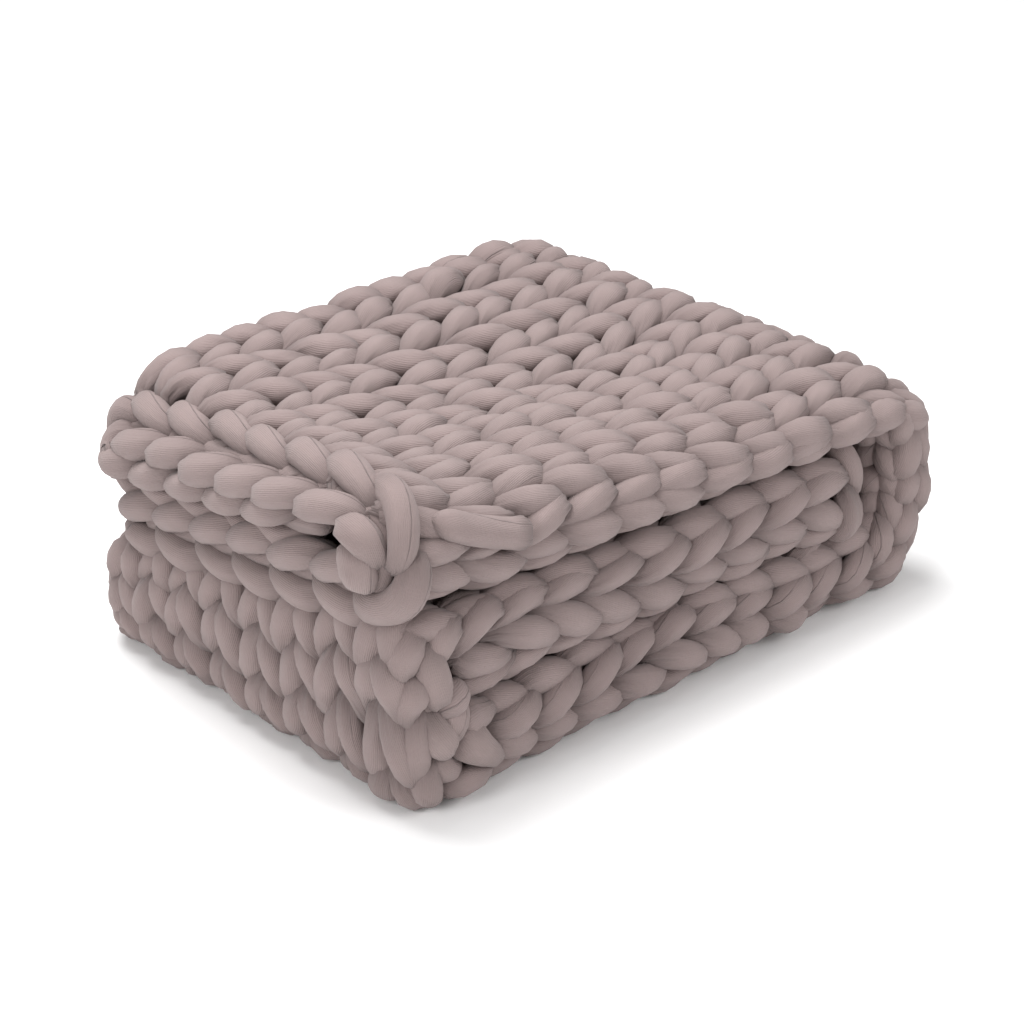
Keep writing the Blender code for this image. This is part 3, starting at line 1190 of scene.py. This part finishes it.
@dataclass(frozen=True)
class JerseyFinish:
    """Brushed cotton jersey over a stuffed tube: fine ribs, puckers, a sewn seam, soft fuzz, and painted
    shade where the tube is pinched.

    Mottle and cloud are a noise's scale, detail and share of the tone.  Grain, gather and fold are
    how far a noise is drawn out along the tube, its turns round it, and its detail.
    """

    colour: Triple = (0.274, 0.213, 0.205)
    shade: Triple = (0.223, 0.170, 0.164)
    # Dark colour of the sewn seam line, and painted shade for the pinched leg tips and the crevices between
    # legs
    seam_and_painted_shade: Triple = (0.070, 0.052, 0.050)
    roughness: float = 0.92
    roughness_range: float = 0.12
    sheen: float = 0.10
    sheen_roughness: float = 0.6
    specular: float = 0.25
    mottle: Triple = (55.0, 3.0, 0.5)
    cloud: Triple = (9.0, 2.0, 0.9)
    seam_shade: float = 0.35
    pinch_shade: float = 0.70
    seam_depth: float = 0.5
    bump_strength: float = 0.9
    bump_distance: float = 1.6 * MM
    girth: float = 0.088
    rib: float = 1.6 * MM
    rib_height: float = 0.075
    grain_height: float = 0.22
    gather_height: float = 6.0
    fold_height: float = 2.6
    grain: Triple = (500.0, 40.0, 2.0)
    gather: Triple = (22.0, 9.0, 1.5)
    fold: Triple = (30.0, 4.0, 1.0)
    seam_wander: tuple[float, float] = (1.7, 1.2)
    seam_sharpness: float = 130.0
    seam_patches: float = 6.0
    patch_level: float = 0.52
    patch_contrast: float = 12.0

    def material(self) -> bpy.types.Material:
        """Build the node material.

        Returns:
            The material.
        """
        material = bpy.data.materials.new("mauve_jersey_cloth")
        material.use_nodes = True
        tree = material.node_tree
        shader = tree.nodes["Principled BSDF"]
        shader.inputs["Sheen Weight"].default_value = self.sheen
        shader.inputs["Sheen Roughness"].default_value = self.sheen_roughness
        shader.inputs["Specular IOR Level"].default_value = self.specular
        nodes = NodeSet(tree)
        place = nodes.add("ShaderNodeTexCoord", {}, {}, "Object")
        yarn = YarnMap(nodes)
        mottle, cloud = (
            nodes.add("ShaderNodeTexNoise", {}, {"Vector": place, "Scale": scale, "Detail": detail})
            for scale, detail, _ in (self.mottle, self.cloud))
        tone = (mottle - 0.5) * self.mottle[2] + (cloud - 0.5) * self.cloud[2] + 0.5
        blend = nodes.add("ShaderNodeMix", {"data_type": "RGBA"},
                          {0: tone, 6: (*self.shade, 1.0), 7: (*self.colour, 1.0)}, 2)
        seam = self.seam_mask(yarn)
        # How far the colour darkens: the dark seam line, plus painted shade where the tube is pinched at
        # leg tips and in the crevices
        depth = seam * self.seam_shade + yarn.pinch * self.pinch_shade
        dark = nodes.add("ShaderNodeMix", {"data_type": "RGBA"},
                         {0: depth, 6: blend, 7: (*self.seam_and_painted_shade, 1.0)}, 2)
        tree.links.new(dark.link, shader.inputs["Base Color"])
        rough = (mottle - 0.5) * self.roughness_range + self.roughness
        tree.links.new(rough.link, shader.inputs["Roughness"])
        height = self.ribs(yarn) + self.puckers(yarn) - seam * self.seam_depth
        bump = nodes.add("ShaderNodeBump", {}, {
            "Height": height, "Strength": self.bump_strength, "Distance": self.bump_distance})
        tree.links.new(bump.link, shader.inputs["Normal"])
        return material

    def ribs(self, yarn: YarnMap) -> Socket:
        """Fine knitted ribs along the tube, broken by cross threads."""
        count = round(self.girth / self.rib)
        wave = (yarn.turn * (2 * math.pi * count)).math("SINE") * self.rib_height
        return wave + yarn.noise(self.grain) * self.grain_height

    def puckers(self, yarn: YarnMap) -> Socket:
        """Gathers along the tube where it is squeezed, and faint soft folds elsewhere."""
        gathers = yarn.noise(self.gather) * yarn.pinch * self.gather_height
        return gathers + yarn.noise(self.fold) * self.fold_height

    def seam_mask(self, yarn: YarnMap) -> Socket:
        """Thin sewn line along the tube, wandering round it.

        Args:
            yarn: the place on the yarn.

        Returns:
            1 on the line and 0 beside it.
        """
        rate, reach = self.seam_wander
        line = (yarn.turn + (yarn.streak(rate) - 0.5) * reach).math("FRACT") - 0.5
        thin = 1 - (line.math("ABSOLUTE") * self.seam_sharpness).math("MINIMUM", 1.0)
        patched = (yarn.streak(self.seam_patches) - self.patch_level) * self.patch_contrast
        return thin * patched.math("MAXIMUM", 0.0).math("MINIMUM", 1.0)


@dataclass(frozen=True)
class Lamp:
    """One square soft box: where it hangs, the side of its square and its watts."""

    name: str
    place: Triple
    size: float
    power: float


@dataclass(frozen=True)
class Studio:
    """Plain pale floor, soft studio light and the camera."""

    target: Triple = (-0.0718, -0.0776, 0.1540)
    azimuth: float = math.radians(-44.0)
    elevation: float = math.radians(27.0)
    distance: float = 2.84
    lens: float = 121.8
    sensor: float = 36.0
    floor_size: float = 9.0
    floor_colour: Triple = (0.93, 0.93, 0.93)
    room_strength: float = 0.40
    lit_point: Triple = (0.0, 0.0, 0.1)
    lamps: tuple[Lamp, ...] = (
        Lamp("overhead_box", (-0.2, 0.5, 2.4), 1.5, 78.0),
        Lamp("left_box", (-2.1, -0.5, 1.2), 1.0, 24.0),
        Lamp("front_box", (0.6, -2.2, 1.5), 1.2, 28.0),
    )

    def floor(self) -> None:
        """Add the flat, pale floor."""
        bpy.ops.object.select_all(action="DESELECT")
        bpy.ops.mesh.primitive_plane_add(size=self.floor_size, location=(0.0, 0.0, 0.0))
        floor = bpy.context.object
        floor.name = "studio_floor"
        material = bpy.data.materials.new("pale_floor")
        material.use_nodes = True
        shader = material.node_tree.nodes["Principled BSDF"]
        shader.inputs["Base Color"].default_value = (*self.floor_colour, 1.0)
        shader.inputs["Roughness"].default_value = 0.9
        shader.inputs["Specular IOR Level"].default_value = 0.1
        floor.data.materials.append(material)

    def world(self) -> None:
        """Light the room evenly in white."""
        bpy.context.scene.view_settings.view_transform = "Standard"
        world = bpy.context.scene.world or bpy.data.worlds.new("studio")
        bpy.context.scene.world = world
        world.use_nodes = True
        background = world.node_tree.nodes["Background"]
        background.inputs["Color"].default_value = (1.0, 1.0, 1.0, 1.0)
        background.inputs["Strength"].default_value = self.room_strength

    def hang(self, lamp: Lamp) -> None:
        """Add one soft box that faces the blanket.

        Args:
            lamp: the box's place, size and power.
        """
        data = bpy.data.lights.new(lamp.name, "AREA")
        data.shape, data.size, data.energy = "SQUARE", lamp.size, lamp.power
        box = bpy.data.objects.new(lamp.name, data)
        way = Vector(self.lit_point) - Vector(lamp.place)
        box.rotation_euler = way.to_track_quat("-Z", "Y").to_euler()
        box.location = lamp.place
        bpy.context.scene.collection.objects.link(box)

    def camera(self) -> None:
        """Set the camera at its viewing angle."""
        flat = math.cos(self.elevation)
        over, forward = math.sin(self.azimuth) * flat, math.cos(self.azimuth) * flat
        back = Vector((over, -forward, math.sin(self.elevation)))
        data = bpy.data.cameras.new("camera")
        data.lens = self.lens
        data.sensor_width = self.sensor
        camera = bpy.data.objects.new("camera", data)
        camera.location = Vector(self.target) + back * self.distance
        camera.rotation_euler = back.to_track_quat("Z", "Y").to_euler()
        bpy.context.scene.collection.objects.link(camera)
        bpy.context.scene.camera = camera

    def build(self) -> None:
        """Set everything up."""
        self.floor()
        self.world()
        for lamp in self.lamps:
            self.hang(lamp)
        self.camera()


def dress(piece: bpy.types.Object, material: bpy.types.Material) -> None:
    """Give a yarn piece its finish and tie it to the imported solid.

    Args:
        piece: the yarn.
        material: its finish.
    """
    piece.data.materials.append(material)
    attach(piece, BODY)
    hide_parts(NODE)


def main() -> None:
    """Build the yarn, dress it and set up the studio."""
    logging.basicConfig(level=logging.INFO, format="%(message)s")
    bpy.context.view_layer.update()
    rng = np.random.default_rng(SEED)
    face = OuterFace(FoldedSheet(), *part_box(NODE))
    grid = StitchGrid(face)
    LOG.info("wales %s, courses %d", grid.wales, grid.courses)
    pieces = KnitBody(grid, rng).build()
    for kind in EdgeKind:
        pieces.append(ChainEdge(face, kind, rng).build())
    pieces.append(YarnEnd(face).build())
    material = JerseyFinish().material()
    for piece in pieces:
        dress(piece, material)
    Studio().build()


if __name__ == "__main__":
    main()
